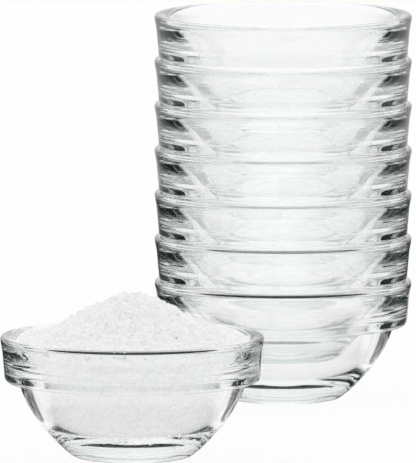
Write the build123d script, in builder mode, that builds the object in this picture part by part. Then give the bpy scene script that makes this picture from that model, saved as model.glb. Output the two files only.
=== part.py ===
from build123d import *
from math import hypot, sqrt
import os

# A set of clear pressed-glass prep bowls: a nested stack and one bowl in front, heaped with coarse salt
# Millimetres, Z up, table at Z = 0, +Y away from the viewer, origin midway between the two places

# Bowl outside
RIM_DIAMETER = 75.0
BOWL_HEIGHT = 34.7
BAND_HEIGHT = 13.0        # crest of the rim down to the flat shoulder under the upright band
BAND_DRAFT = 0.75         # radius that the band loses from the lip down to its lower edge
BAND_EDGE_ROUND = 1.3
LIP_REACH = 0.55          # how far the lip flares out past the band
LIP_HEIGHT = 4.3          # crest down to the root of the lip
LIP_FACE = 1.4            # crest down to where the lip is widest
LIP_ROOT_ROUND = 4.0
SHOULDER_WIDTH = 3.6      # lower edge of the band in to the top of the tapered body
NECK_ROUND = 0.8
BODY_BULGE = 2.2          # how far the body's side bows out from a straight taper
FOOT_DIAMETER = 32.4      # where the body's side would meet the table
FOOT_ROUND = 3.5

# Bowl inside
RIM_THICKNESS = 3.8
RIM_OUTER_ROUND = 0.9
RIM_INNER_ROUND = 0.8
FLOOR_DIAMETER = 40.0
FLOOR_THICKNESS = 6.0
FLOOR_ROUND = 15.0
CAVITY_BULGE = 1.1        # how far the inside wall bows out from a straight taper

# The set on the table
STACK_COUNT = 7
STACK_OFFSET_X = 43.4     # stack to the right of the front bowl
STACK_OFFSET_Y = 132.0    # stack behind the front bowl

# Salt heap in the front bowl
HEAP_RISE = 11.5          # top of the heap above the rim
HEAP_EDGE_DROP = 1.6      # where the heap meets the glass, below the rim
HEAP_EDGE_FALL = 0.3      # slope of the heap where it meets the glass
FLANK_REACH = 0.42        # steepest part of the heap, as a share of its radius
FLANK_RISE = 0.54         # and of its rise
SKIRT_REACH = 0.71        # foot of the steep part, as a share of the heap's radius
SKIRT_RISE = 0.125        # and of its rise
SALT_GAP = 0.3            # between the salt and the side of the bowl

# Radii and levels of one bowl, measured from the middle of its foot
rim_r = RIM_DIAMETER / 2
band_top_r = rim_r - LIP_REACH
band_low_r = band_top_r - BAND_DRAFT
shoulder_z = BOWL_HEIGHT - BAND_HEIGHT
neck_r = band_low_r - SHOULDER_WIDTH
foot_r = FOOT_DIAMETER / 2
rim_inner_r = rim_r - RIM_THICKNESS
floor_r = FLOOR_DIAMETER / 2

# Circle that the inside wall follows, from the edge of the floor to the rim
cavity_rise = BOWL_HEIGHT - FLOOR_THICKNESS
cavity_flare = rim_inner_r - floor_r
cavity_chord = hypot(cavity_flare, cavity_rise)
cavity_arc_r = (cavity_chord**2 / 4 + CAVITY_BULGE**2) / (2 * CAVITY_BULGE)
cavity_reach = cavity_arc_r - CAVITY_BULGE
cavity_centre_r = (rim_inner_r + floor_r) / 2 - cavity_reach * cavity_rise / cavity_chord
cavity_centre_z = (BOWL_HEIGHT + FLOOR_THICKNESS) / 2 + cavity_reach * cavity_flare / cavity_chord


def cavity_point(level, gap):
    """Point of the cavity's outline at a level, a gap inside the glass."""
    across = sqrt((cavity_arc_r - gap) ** 2 - (level - cavity_centre_z) ** 2)
    return (cavity_centre_r + across, level)


def section_plane(x, y, z):
    """Upright plane through a bowl's axis: local X is the radius, local Y the height."""
    return Plane(origin=(x, y, z), x_dir=(1, 0, 0), z_dir=(0, -1, 0))


def round_corner(section, corner, radius):
    """Round the corner of a section that lies at a given point."""
    fillet(section.vertices().sort_by_distance(corner)[0], radius)


def make_bowl(node, x, y, z):
    """One glass bowl, turned about its axis, with its foot at a given place."""
    foot_edge = (foot_r, 0)
    neck = (neck_r, shoulder_z)
    band_edge = (band_low_r, shoulder_z)
    lip_root = (band_top_r, BOWL_HEIGHT - LIP_HEIGHT)
    lip_edge = (rim_r, BOWL_HEIGHT - LIP_FACE)
    rim_outside = (rim_r, BOWL_HEIGHT)
    rim_inside = (rim_inner_r, BOWL_HEIGHT)
    floor_edge = (floor_r, FLOOR_THICKNESS)

    with BuildPart() as bowl:
        with BuildSketch(section_plane(x, y, z)) as section:
            with BuildLine():
                Line((0, 0), foot_edge)
                SagittaArc(foot_edge, neck, -BODY_BULGE)
                Polyline(neck, band_edge, lip_root, lip_edge, rim_outside, rim_inside)
                SagittaArc(rim_inside, floor_edge, CAVITY_BULGE)
                Polyline(floor_edge, (0, FLOOR_THICKNESS), (0, 0))
            make_face()
            round_corner(section, foot_edge, FOOT_ROUND)
            round_corner(section, neck, NECK_ROUND)
            round_corner(section, band_edge, BAND_EDGE_ROUND)
            round_corner(section, lip_root, LIP_ROOT_ROUND)
            round_corner(section, rim_outside, RIM_OUTER_ROUND)
            round_corner(section, rim_inside, RIM_INNER_ROUND)
            round_corner(section, floor_edge, FLOOR_ROUND)
        revolve(axis=Axis((x, y, z), (0, 0, 1)))
    bowl.part.label = node
    export_step(bowl.part, f"parts/{node}.step")


def make_salt(node, x, y, z):
    """Salt that fills a bowl and rises over its rim in a heap with a rounded crown and a spreading skirt."""
    edge_level = BOWL_HEIGHT - HEAP_EDGE_DROP
    low = cavity_point(FLOOR_THICKNESS, SALT_GAP)
    middle = cavity_point((FLOOR_THICKNESS + edge_level) / 2, SALT_GAP)
    edge = cavity_point(edge_level, SALT_GAP)
    skirt = (SKIRT_REACH * edge[0], BOWL_HEIGHT + SKIRT_RISE * HEAP_RISE)
    flank = (FLANK_REACH * edge[0], BOWL_HEIGHT + FLANK_RISE * HEAP_RISE)
    top = (0, BOWL_HEIGHT + HEAP_RISE)

    with BuildPart() as salt:
        with BuildSketch(section_plane(x, y, z)) as section:
            with BuildLine():
                Line((0, FLOOR_THICKNESS), low)
                ThreePointArc(low, middle, edge)
                Spline(edge, skirt, flank, top, tangents=((-1, HEAP_EDGE_FALL), (-1, 0)))
                Line(top, (0, FLOOR_THICKNESS))
            make_face()
            round_corner(section, low, FLOOR_ROUND)
        revolve(axis=Axis((x, y, z), (0, 0, 1)))
    salt.part.label = node
    export_step(salt.part, f"parts/{node}.step")


os.makedirs("parts", exist_ok=True)

front_place = (-STACK_OFFSET_X / 2, -STACK_OFFSET_Y / 2, 0)
make_bowl("front_bowl", *front_place)
make_salt("coarse_salt", *front_place)

# Each bowl of the stack rests its shoulder flat on the rim of the one below
for level in range(STACK_COUNT):
    make_bowl(f"stack_bowl_{level + 1}", STACK_OFFSET_X / 2, STACK_OFFSET_Y / 2, level * BAND_HEIGHT)
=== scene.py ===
import math
import random

import bpy
from mathutils import Euler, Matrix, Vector, noise


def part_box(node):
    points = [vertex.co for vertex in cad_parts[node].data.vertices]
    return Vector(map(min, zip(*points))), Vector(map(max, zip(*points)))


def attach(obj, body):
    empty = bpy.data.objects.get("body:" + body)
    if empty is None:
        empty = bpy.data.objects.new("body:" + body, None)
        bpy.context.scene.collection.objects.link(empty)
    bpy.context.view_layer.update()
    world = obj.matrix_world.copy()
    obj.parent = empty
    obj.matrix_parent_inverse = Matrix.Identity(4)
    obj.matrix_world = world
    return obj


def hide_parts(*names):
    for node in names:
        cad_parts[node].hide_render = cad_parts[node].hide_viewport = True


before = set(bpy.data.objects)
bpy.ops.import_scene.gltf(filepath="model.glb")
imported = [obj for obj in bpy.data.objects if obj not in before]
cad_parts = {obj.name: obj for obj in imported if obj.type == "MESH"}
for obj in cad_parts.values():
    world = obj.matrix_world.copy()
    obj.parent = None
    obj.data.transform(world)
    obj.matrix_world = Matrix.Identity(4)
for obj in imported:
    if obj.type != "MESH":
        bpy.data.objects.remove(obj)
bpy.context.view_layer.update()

# Clear pressed-glass prep bowls, one of them heaped with coarse salt
# Lengths of the bowls and the salt are in millimetres and become metres where a mesh is made

MM = 0.001
FULL_TURN = 2 * math.pi
scene = bpy.context.scene
scene.view_settings.view_transform = "Standard"
random.seed(11)

# Outside of one bowl
RIM_R = 37.49
HEIGHT = 34.7
BAND_HEIGHT = 13.0        # crest of the rim down to the flat shoulder under the upright band
BAND_DRAFT = 0.75         # radius that the band loses from the lip down to its lower edge
BAND_EDGE_ROUND = 1.25
LIP_REACH = 0.55          # how far the lip flares out past the band
LIP_HEIGHT = 4.3          # crest down to the root of the lip
LIP_ROOT_ROUND = 1.2
LIP_FACE = 1.4            # crest down to where the lip is widest
LIP_FACE_ROUND = 0.4
SHOULDER = 3.6            # lower edge of the band in to the top of the tapered body
SHOULDER_LIFT = 0.05      # film of air over the rim that carries the shoulder
NECK_ROUND = 0.6
BODY_BULGE = 2.2          # how far the body's side bows out from a straight taper
FOOT_R = 16.2
FOOT_ROUND = 1.3

# Inside of one bowl
RIM_WALL = 3.8
RIM_OUTER_ROUND = 0.9
RIM_INNER_ROUND = 2.6
FLOOR_R = 20.0
FLOOR = 6.0               # thickness of the glass under the salt
FLOOR_ROUND = 8.4
CAVITY_BULGE = 1.1        # how far the inside wall bows out from a straight taper

# Fineness of a bowl's mesh
TURN_STEPS = 192
CURVE_STEPS = 64          # along the side of the body and along the inside wall
CORNER_STEPS = 16         # along each rounded corner
ON_AXIS = 1e-6            # a smaller radius is a point on the axis

# Body of salt
SALT_GAP = 0.3            # between the salt and the side of the bowl
SALT_INSET = 0.35         # how far the side of the body lies behind that gap
SALT_FLOOR_GAP = 0.1      # between the salt and the floor of the bowl
SALT_STEPS = 128
SALT_ROWS = 40            # rings up its side, and as many over the heap
FIRST_ROW = 0.05          # height of the lowest ring
ROW_CROWDING = 1.4        # over 1, the rings lie closer together near the floor

# Heap of salt over the rim
HEAP_R = 32.86
HEAP_RISE = 11.5
HEAP_EDGE_DROP = 1.6      # where the heap meets the glass, below the rim
# Crown, flank, skirt and edge of the heap: share of its radius, share of its rise, slope
HEAP_PROFILE = ((0.0, 1.0, 0.0), (0.42, 0.54, -0.56), (0.71, 0.125, -0.40), (1.0, -0.139, -0.30))
# Unevenness of the heap: height, width, place in the noise
HEAP_WAVES = ((0.55, 7.0, 1.3), (0.3, 2.6, 4.1))
CALM_R = 32.5             # the unevenness ends at this radius
CALM_WIDTH = 5.0          # and fades over this width
HEAP_INSET = 0.75         # how far the body lies under the surface that the crystals are set on

# Crystals
GRAIN = 1.3
SURFACE_GRAINS = 5600
SURFACE_EDGE = 0.2        # between the outermost crystals of the heap and its edge
SURFACE_SIZES = (0.75, 0.9, 1.0, 1.0, 1.15, 1.3)        # shares of GRAIN
SURFACE_LIFTS = (-0.6, -0.5, -0.4, -0.3, -0.2, 0.0)     # from the heap's surface, shares of GRAIN
SIDE_GRAINS = 4500
SIDE_GRAIN = 0.85         # share of GRAIN
SIDE_INSET = 0.62         # middle of the crystals at the side, behind the gap
SIDE_LOWEST = 2.0         # over the floor of the bowl
GRAIN_HALF = (0.34, 0.62)       # half the size of a crystal along each axis, as a share
GRAIN_CORNER = (0.78, 1.05)     # how uneven its corners are
GRAIN_QUADS = ((0, 2, 3, 1), (4, 5, 7, 6), (0, 1, 5, 4), (2, 6, 7, 3), (0, 4, 6, 2), (1, 3, 7, 5))


def bowed_run(start, end, bulge, cut_start, cut_end, steps):
    """Points from start to end along an arc of a given bulge, with a length left off at each end."""
    chord = math.hypot(end[0] - start[0], end[1] - start[1])
    points = []
    if bulge == 0:
        for i in range(steps + 1):
            t = (cut_start + (chord - cut_start - cut_end) * i / steps) / chord
            points.append((start[0] + (end[0] - start[0]) * t, start[1] + (end[1] - start[1]) * t))
        return points
    radius = (chord**2 / 4 + bulge**2) / (2 * abs(bulge))
    side = math.copysign(1, bulge)
    out_r = -(end[1] - start[1]) / chord * side
    out_z = (end[0] - start[0]) / chord * side
    centre_r = (start[0] + end[0]) / 2 - out_r * (radius - abs(bulge))
    centre_z = (start[1] + end[1]) / 2 - out_z * (radius - abs(bulge))
    first = math.atan2(start[1] - centre_z, start[0] - centre_r)
    last = math.atan2(end[1] - centre_z, end[0] - centre_r)
    turn = (last - first + math.pi) % FULL_TURN - math.pi
    length = abs(turn) * radius
    for i in range(steps + 1):
        angle = first + turn * (cut_start + (length - cut_start - cut_end) * i / steps) / length
        points.append((centre_r + radius * math.cos(angle), centre_z + radius * math.sin(angle)))
    return points


def rounded_outline(corners):
    """Outline through corners given as (r, z, rounding, bulge to the next, steps to the next)."""
    runs = []
    for near, far in zip(corners, corners[1:]):
        runs.append(bowed_run(near[:2], far[:2], near[3], near[2], far[2], near[4]))
    points = list(runs[0])
    for corner, run in zip(corners[1:], runs[1:]):
        before, after = points[-1], run[0]
        for i in range(1, CORNER_STEPS):
            t = i / CORNER_STEPS
            points.append(tuple((1 - t) ** 2 * a + 2 * t * (1 - t) * c + t * t * b
                                for a, c, b in zip(before, corner, after)))
        points.extend(run)
    return points


def bowl_outline():
    """Half section of a bowl, from the middle of its foot round to the middle of its floor."""
    band_top = RIM_R - LIP_REACH
    band_low = band_top - BAND_DRAFT
    shoulder = HEIGHT - BAND_HEIGHT + SHOULDER_LIFT
    return rounded_outline([
        (0, 0, 0, 0, 12),
        (FOOT_R, 0, FOOT_ROUND, -BODY_BULGE, CURVE_STEPS),
        (band_low - SHOULDER, shoulder, NECK_ROUND, 0, 4),
        (band_low, shoulder, BAND_EDGE_ROUND, 0, 14),
        (band_top, HEIGHT - LIP_HEIGHT, LIP_ROOT_ROUND, 0, 8),
        (RIM_R, HEIGHT - LIP_FACE, LIP_FACE_ROUND, 0, 3),
        (RIM_R, HEIGHT, RIM_OUTER_ROUND, 0, 4),
        (RIM_R - RIM_WALL, HEIGHT, RIM_INNER_ROUND, CAVITY_BULGE, CURVE_STEPS),
        (FLOOR_R, FLOOR, FLOOR_ROUND, 0, 10),
        (0, FLOOR, 0, 0, 0)])


def add_ring(verts, rings, count, point_at):
    """Ring of vertices at the points that a function gives for their angles; a count of one is a pole."""
    rings.append(range(len(verts), len(verts) + count))
    for k in range(count):
        verts.append(point_at(FULL_TURN * k / count))


def turned_faces(rings):
    """Faces between neighbouring rings of vertex numbers; a ring of one vertex is a pole."""
    faces = []
    for low, high in zip(rings, rings[1:]):
        count = max(len(low), len(high))
        for k in range(count):
            n = (k + 1) % count
            if len(low) == 1:
                faces.append((low[0], high[n], high[k]))
            elif len(high) == 1:
                faces.append((low[k], low[n], high[0]))
            else:
                faces.append((low[k], low[n], high[n], high[k]))
    return faces


def turned_mesh(name, outline):
    """Smooth closed surface turned about Z from a half section that starts and ends on the axis."""
    verts, rings = [], []
    for r, z in outline:
        add_ring(verts, rings, 1 if r < ON_AXIS else TURN_STEPS,
                 lambda angle: (r * MM * math.cos(angle), r * MM * math.sin(angle), z * MM))
    mesh = bpy.data.meshes.new(name)
    mesh.from_pydata(verts, [], turned_faces(rings))
    mesh.polygons.foreach_set("use_smooth", [True] * len(mesh.polygons))
    return mesh


def new_tree(owner):
    """Empty node tree of a material or world."""
    owner.use_nodes = True
    owner.node_tree.nodes.clear()
    return owner.node_tree


def node(tree, kind, values=None, **settings):
    """New node with its settings and the values of its inputs; a socket as a value is linked."""
    made = tree.nodes.new(kind)
    for key, value in settings.items():
        setattr(made, key, value)
    for key, value in (values or {}).items():
        if isinstance(value, bpy.types.NodeSocket):
            tree.links.new(value, made.inputs[key])
        else:
            made.inputs[key].default_value = value
    return made


def calc(tree, operation, *values):
    """Result of a Math node, or of a chain of them where there are more than two values."""
    result = node(tree, "ShaderNodeMath", dict(enumerate(values[:2])), operation=operation).outputs[0]
    return calc(tree, operation, result, *values[2:]) if values[2:] else result


def ramp(tree, value, low, high):
    """0 below low, 1 above high, smooth between; the other way round where low is the larger."""
    values = {"Value": value, "From Min": low, "From Max": high}
    return node(tree, "ShaderNodeMapRange", values, interpolation_type="SMOOTHSTEP").outputs["Result"]


def spread(tree, value, low, high):
    """Value from 0 to 1 spread from low to high."""
    values = {"Value": value, "To Min": low, "To Max": high}
    return node(tree, "ShaderNodeMapRange", values).outputs["Result"]


def glass_material():
    """Clear, faintly green soda glass with the slight waves that pressing leaves."""
    material = bpy.data.materials.new("clear_pressed_glass")
    tree = new_tree(material)
    place = node(tree, "ShaderNodeTexCoord").outputs["Object"]
    waves = node(tree, "ShaderNodeTexNoise", {
        "Vector": place, "Scale": 90.0, "Detail": 1.5, "Roughness": 0.4})
    bump = node(tree, "ShaderNodeBump", {
        "Strength": 0.012, "Distance": 0.0006, "Height": waves.outputs["Fac"]})
    glass = node(tree, "ShaderNodeBsdfPrincipled", {
        "Base Color": (1.0, 1.0, 1.0, 1.0), "Roughness": 0.0, "IOR": 1.51, "Transmission Weight": 1.0,
        "Normal": bump.outputs["Normal"]})
    tint = node(tree, "ShaderNodeVolumeAbsorption", {"Color": (0.70, 0.90, 0.82, 1.0), "Density": 1.8})
    node(tree, "ShaderNodeOutputMaterial", {"Surface": glass.outputs[0], "Volume": tint.outputs[0]})
    return material


def salt_material():
    """White crystals that differ a little in brightness and gloss."""
    material = bpy.data.materials.new("coarse_salt_crystals")
    tree = new_tree(material)
    each = node(tree, "ShaderNodeNewGeometry").outputs["Random Per Island"]
    shade = spread(tree, each, 0.95, 1.0)
    tone = node(tree, "ShaderNodeCombineColor", {"Red": shade, "Green": shade, "Blue": shade})
    place = node(tree, "ShaderNodeTexCoord").outputs["Object"]
    pits = node(tree, "ShaderNodeTexNoise", {"Vector": place, "Scale": 2600.0, "Detail": 2.0})
    bump = node(tree, "ShaderNodeBump", {
        "Strength": 0.3, "Distance": 0.0001, "Height": pits.outputs["Fac"]})
    crystal = node(tree, "ShaderNodeBsdfPrincipled", {
        "Base Color": tone.outputs[0], "Roughness": spread(tree, each, 0.3, 0.7), "IOR": 1.54,
        "Specular IOR Level": 0.2, "Normal": bump.outputs["Normal"]})
    node(tree, "ShaderNodeOutputMaterial", {"Surface": crystal.outputs[0]})
    return material


def piece(name, mesh, place, material, body, replaced):
    """Object of the set that rides on a body and stands for a CAD node."""
    made = bpy.data.objects.new(name, mesh)
    scene.collection.objects.link(made)
    made.location = place
    mesh.materials.append(material)
    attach(made, body)
    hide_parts(replaced)


def foot_centre(bowl):
    """Middle of a bowl's foot."""
    low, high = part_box(bowl)
    return Vector(((low.x + high.x) / 2, (low.y + high.y) / 2, low.z))


def cavity_radius(level, outline):
    """Inside radius of the bowl at a level between its floor and its rim."""
    rim = max(range(len(outline)), key=lambda i: (outline[i][1], -outline[i][0]))
    inside = outline[rim:]
    upper, lower = next(pair for pair in zip(inside, inside[1:]) if pair[1][1] <= level <= pair[0][1])
    t = (level - lower[1]) / (upper[1] - lower[1])
    return lower[0] + (upper[0] - lower[0]) * t


def heap_level(r):
    """Height of the heap over the rim at a distance from its axis."""
    share = min(r / HEAP_R, 1.0)
    near, far = next(pair for pair in zip(HEAP_PROFILE, HEAP_PROFILE[1:]) if share <= pair[1][0])
    span = (far[0] - near[0]) * HEAP_R
    t = (share - near[0]) / (far[0] - near[0])
    blend = t * t * (3 - 2 * t)
    rise = near[1] + (far[1] - near[1]) * blend
    return HEAP_RISE * rise + span * t * (1 - t) * ((1 - t) * near[2] - t * far[2])


def heap_point(r, angle):
    """Point on the uneven surface of the heap."""
    x, y = r * math.cos(angle), r * math.sin(angle)
    rough = sum(height * noise.noise(Vector((x / width, y / width, place)))
                for height, width, place in HEAP_WAVES)
    calm = min(1.0, max(0.0, (CALM_R - r) / CALM_WIDTH))
    return Vector((x, y, HEIGHT + heap_level(r) + rough * calm))


def add_grain(verts, faces, centre, size):
    """One crystal: a small box turned at random, with uneven corners."""
    turn = Euler([random.uniform(0, FULL_TURN) for _ in range(3)]).to_matrix()
    half = [size * random.uniform(*GRAIN_HALF) for _ in range(3)]
    first = len(verts)
    for k in range(8):
        corner = [half[a] * (1 if k >> a & 1 else -1) * random.uniform(*GRAIN_CORNER) for a in range(3)]
        verts.append((centre + turn @ Vector(corner)) * MM)
    for quad in GRAIN_QUADS:
        faces.append(tuple(first + k for k in quad))


def salt_mesh(outline):
    """Body of salt with crystals over the heap and against the glass."""
    verts, rings = [], []
    low, edge_level = FLOOR + SALT_FLOOR_GAP, HEIGHT - HEAP_EDGE_DROP
    add_ring(verts, rings, 1, lambda angle: Vector((0, 0, low)) * MM)
    for i in range(SALT_ROWS):
        share = (i / (SALT_ROWS - 1)) ** ROW_CROWDING
        level = low + FIRST_ROW + (edge_level - low - FIRST_ROW) * share
        side_r = cavity_radius(level, outline) - SALT_GAP - SALT_INSET
        add_ring(verts, rings, SALT_STEPS,
                 lambda angle: Vector((side_r * math.cos(angle), side_r * math.sin(angle), level)) * MM)
    for i in range(1, SALT_ROWS + 1):
        r = side_r * (1 - i / SALT_ROWS)
        add_ring(verts, rings, 1 if i == SALT_ROWS else SALT_STEPS,
                 lambda angle: (heap_point(r, angle) - Vector((0, 0, HEAP_INSET))) * MM)
    faces = turned_faces(rings)
    for _ in range(SURFACE_GRAINS):
        r = (side_r - SURFACE_EDGE) * math.sqrt(random.random())
        size = GRAIN * random.choice(SURFACE_SIZES)
        point = heap_point(r, random.uniform(0, FULL_TURN))
        lift = random.choice(SURFACE_LIFTS) * GRAIN
        add_grain(verts, faces, point + Vector((0, 0, lift)), size)
    for _ in range(SIDE_GRAINS):
        level = random.uniform(FLOOR + SIDE_LOWEST, edge_level)
        r = cavity_radius(level, outline) - SALT_GAP - SIDE_INSET
        angle = random.uniform(0, FULL_TURN)
        add_grain(verts, faces, Vector((r * math.cos(angle), r * math.sin(angle), level)), GRAIN * SIDE_GRAIN)
    mesh = bpy.data.meshes.new("salt_heap")
    mesh.from_pydata(verts, [], faces)
    mesh.validate()
    return mesh


# The bowls and the salt
outline = bowl_outline()
clear_glass = glass_material()
bowl_nodes = sorted(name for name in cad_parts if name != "coarse_salt")
for name in bowl_nodes:
    mesh = turned_mesh(name + "_glass", outline)
    piece(name + "_glass", mesh, foot_centre(name), clear_glass, name, name)
piece("salt_heap", salt_mesh(outline), foot_centre("front_bowl"), salt_material(),
      "front_bowl", "coarse_salt")

# Bright-field studio: white for what is seen straight through the glass, and dark at its sides, behind the
# camera and on parts of its floor for rays that the glass has mirrored
# From here on lengths are in metres; a pair of numbers is where a change starts and where it is complete
# Angles are degrees off the +Y direction to either side, or degrees above the table
WHITE = (1.0, 1.0, 1.0, 1.0)
# Dark of the studio, tinted green like the glass: its sides and the painted shadow on its floor for mirrored
# rays, and the dimmer front for scattered ones
STUDIO_DARK = (0.004, 0.010, 0.008, 1.0)
MANY_WALLS = 5                      # a ray through so many walls of glass
MANY_WALLS_SHARE = 0.6              # sees only this share of the dark

# Surround
SIDE_ANGLE = (22, 36)               # the dark sides start
SIDE_UP = (24, 12)                  # and reach up to here
FRONT_ANGLE = (90, 150)             # the camera's side is dimmer for scattered rays
FRONT_UP = (50, 15)
FRONT_SHADE = 0.45                  # by this much

# Floor, measured from the middle of the nearer bowl's foot
STRIP_EDGE = (0.075, 0.095)         # edge of the white strip that the bowls stand on
STRIP_SIDE = 0.95                   # how dark the floor beside the strip is
ASIDE_ANGLE = (60, 75)              # the floor is also dark at each side and in front
ASIDE_REACH = (0.09, 0.12)          # away from the bowl
FAR_REACH = (0.5, 0.3)              # floor that lies farther off
FAR_SHARE = 0.4                     # keeps this share of the dark
FLAG_ASIDE = (0.034, 0.040)         # patches behind each side of the bowl, for the line along its body
FLAG_NEAR = (0.024, 0.032)
FLAG_FAR = (0.095, 0.085)
SHADOW_UNDER_ANGLE = (55, 70)              # painted shadow of the bowl on the floor under its body, seen only by mirrored rays, for the line over its foot
SHADOW_UNDER_REACH = (0.034, 0.028)
SHADOW_FRONT_ANGLE = (82, 96)              # painted shadow of the bowl on the floor in front of its body, seen only by mirrored rays, for the line along its rim
SHADOW_FRONT_REACH = (0.048, 0.042)
FOOT_REACH = (0.0175, 0.0165)       # white under the front of the foot, which keeps that line thin
FOOT_FRONT = (-0.0140, -0.0150)
FLOOR_GLOW = 0.3                    # share of the floor's brightness that is its own
SEEN_GLOW = 0.25                    # added where the camera sees the floor itself
SALT_GLOW = 0.6                     # and the share for rays that the salt has scattered
FLOOR_HALF = 4
FLOOR_DROP = 0.2 * MM               # keeps the floor clear of the glass that stands on it


def at_least(tree, depth, count):
    """1 where a ray's depth is a given count or more."""
    return calc(tree, "GREATER_THAN", depth, count - 0.5)


def rest_of(tree, share):
    """What a share leaves of 1."""
    return calc(tree, "SUBTRACT", 1.0, share)


def in_degrees(tree, angle):
    """Angle in degrees."""
    return calc(tree, "MULTIPLY", angle, 180 / math.pi)


def off_axis(tree, vector):
    """Degrees between the level part of a vector and the +Y direction, to either side."""
    parts = node(tree, "ShaderNodeSeparateXYZ", {0: vector}).outputs
    aside = calc(tree, "ABSOLUTE", parts["X"])
    return in_degrees(tree, calc(tree, "ARCTAN2", aside, parts["Y"]))


def mirrored(tree, path):
    """1 for rays that glass has mirrored and nothing has scattered, less for those through many walls."""
    reflected = at_least(tree, path["Glossy Depth"], 1)
    clear = rest_of(tree, at_least(tree, path["Diffuse Depth"], 1))
    walls = spread(tree, at_least(tree, path["Transmission Depth"], MANY_WALLS), 1.0, MANY_WALLS_SHARE)
    return calc(tree, "MULTIPLY", reflected, clear, walls)


def shaded(tree, dark):
    """White that turns to the dark of the studio's sides."""
    return node(tree, "ShaderNodeMix", {0: dark, 6: WHITE, 7: STUDIO_DARK}, data_type="RGBA").outputs[2]


def floor_dark(tree, here, bowl):
    """Distance of a place on the floor from a bowl, and how dark the floor is there for that bowl."""
    middle = foot_centre(bowl)
    away = node(tree, "ShaderNodeVectorMath", {0: here, 1: middle}, operation="SUBTRACT").outputs[0]
    reach = node(tree, "ShaderNodeVectorMath", {0: away}, operation="LENGTH").outputs["Value"]
    parts = node(tree, "ShaderNodeSeparateXYZ", {0: away}).outputs
    aside = calc(tree, "ABSOLUTE", parts["X"])
    angle = off_axis(tree, away)

    beside = calc(tree, "MULTIPLY", ramp(tree, aside, *STRIP_EDGE), STRIP_SIDE)
    beside = calc(tree, "MAXIMUM", beside, ramp(tree, angle, *ASIDE_ANGLE))
    far_share = spread(tree, ramp(tree, reach, *FAR_REACH), FAR_SHARE, 1.0)
    off_strip = calc(tree, "MULTIPLY", beside, ramp(tree, reach, *ASIDE_REACH), far_share)

    flag = calc(tree, "MULTIPLY", ramp(tree, aside, *FLAG_ASIDE),
                ramp(tree, parts["Y"], *FLAG_NEAR), ramp(tree, parts["Y"], *FLAG_FAR))

    # Painted shadow of the bowl on the floor round the front of its foot, left off right under the front of
    # the foot
    under = calc(tree, "MULTIPLY", ramp(tree, angle, *SHADOW_UNDER_ANGLE), ramp(tree, reach, *SHADOW_UNDER_REACH))
    crest = calc(tree, "MULTIPLY", ramp(tree, angle, *SHADOW_FRONT_ANGLE), ramp(tree, reach, *SHADOW_FRONT_REACH))
    foot = calc(tree, "MULTIPLY", ramp(tree, reach, *FOOT_REACH), ramp(tree, parts["Y"], *FOOT_FRONT))
    near = calc(tree, "MULTIPLY", calc(tree, "MAXIMUM", under, crest), rest_of(tree, foot))
    return reach, calc(tree, "MAXIMUM", off_strip, flag, near)


def studio_floor():
    """White floor that keeps the soft shadow, with its dark parts for mirrored rays, a painted shadow round
    the foot of the front bowl and of the stack among them.
    """
    material = bpy.data.materials.new("studio_floor")
    tree = new_tree(material)
    path = node(tree, "ShaderNodeLightPath").outputs
    here = node(tree, "ShaderNodeNewGeometry").outputs["Position"]
    front_reach, front_dark = floor_dark(tree, here, "front_bowl")
    stack_reach, stack_dark = floor_dark(tree, here, "stack_bowl_1")
    by_front = calc(tree, "LESS_THAN", front_reach, stack_reach)
    dark = calc(tree, "ADD", calc(tree, "MULTIPLY", front_dark, by_front),
                calc(tree, "MULTIPLY", stack_dark, rest_of(tree, by_front)))
    tone = shaded(tree, calc(tree, "MULTIPLY", dark, mirrored(tree, path)))

    scattered = at_least(tree, path["Diffuse Depth"], 1)
    glow = calc(tree, "ADD", calc(tree, "MULTIPLY", path["Is Camera Ray"], SEEN_GLOW), FLOOR_GLOW)
    glow = calc(tree, "MAXIMUM", glow, calc(tree, "MULTIPLY", scattered, SALT_GLOW))
    lit = node(tree, "ShaderNodeEmission", {"Color": tone, "Strength": glow})
    matte = node(tree, "ShaderNodeBsdfDiffuse", {"Color": tone})
    rest = node(tree, "ShaderNodeMixShader", {0: glow, 1: matte.outputs[0]})
    both = node(tree, "ShaderNodeAddShader", {0: lit.outputs[0], 1: rest.outputs[0]})
    node(tree, "ShaderNodeOutputMaterial", {"Surface": both.outputs[0]})
    return material


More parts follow.
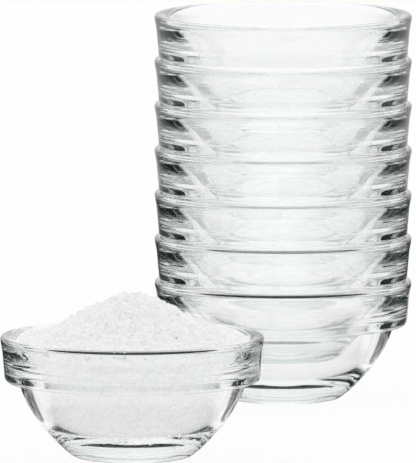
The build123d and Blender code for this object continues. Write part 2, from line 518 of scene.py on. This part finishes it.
def studio_world():
    """White surround with dark sides for mirrored rays and a dimmer front for scattered ones."""
    world = bpy.data.worlds.new("studio")
    tree = new_tree(world)
    path = node(tree, "ShaderNodeLightPath").outputs
    way = node(tree, "ShaderNodeTexCoord").outputs["Generated"]
    rise = node(tree, "ShaderNodeSeparateXYZ", {0: way}).outputs["Z"]
    up = in_degrees(tree, calc(tree, "ARCSINE", rise))
    angle = off_axis(tree, way)
    scattered = at_least(tree, path["Diffuse Depth"], 1)
    side = calc(tree, "MULTIPLY", ramp(tree, angle, *SIDE_ANGLE), ramp(tree, up, *SIDE_UP),
                mirrored(tree, path))
    front = calc(tree, "MULTIPLY", ramp(tree, angle, *FRONT_ANGLE), ramp(tree, up, *FRONT_UP),
                 scattered, FRONT_SHADE)
    white = node(tree, "ShaderNodeBackground", {"Color": shaded(tree, calc(tree, "MAXIMUM", side, front))})
    node(tree, "ShaderNodeOutputWorld", {"Surface": white.outputs[0]})
    return world


floor_mesh = bpy.data.meshes.new("floor")
floor_corners = [(x * FLOOR_HALF, y * FLOOR_HALF, 0) for x, y in ((-1, -1), (1, -1), (1, 1), (-1, 1))]
floor_mesh.from_pydata(floor_corners, [], [(0, 1, 2, 3)])
floor_mesh.materials.append(studio_floor())
floor = bpy.data.objects.new("floor", floor_mesh)
floor.location.z = -FLOOR_DROP
scene.collection.objects.link(floor)
scene.world = studio_world()

# Light goes through many walls of glass in the stack
scene.cycles.max_bounces = 64
scene.cycles.diffuse_bounces = 24
scene.cycles.glossy_bounces = 24
scene.cycles.transmission_bounces = 48
scene.cycles.transparent_max_bounces = 16
scene.cycles.blur_glossy = 0.0

# Camera at the photograph's angle
ELEVATION = math.radians(6.71)
DISTANCE = 4.746
AIM = Vector((-0.0002, -0.066, 0.0644))
sight = Vector((0, math.cos(ELEVATION), -math.sin(ELEVATION)))
lens = bpy.data.cameras.new("camera")
lens.lens = 1300
lens.sensor_width = 36
lens.clip_start = 0.1
lens.clip_end = 50
camera = bpy.data.objects.new("camera", lens)
camera.location = AIM - sight * DISTANCE
camera.rotation_euler = sight.to_track_quat("-Z", "Y").to_euler()
scene.collection.objects.link(camera)
scene.camera = camera
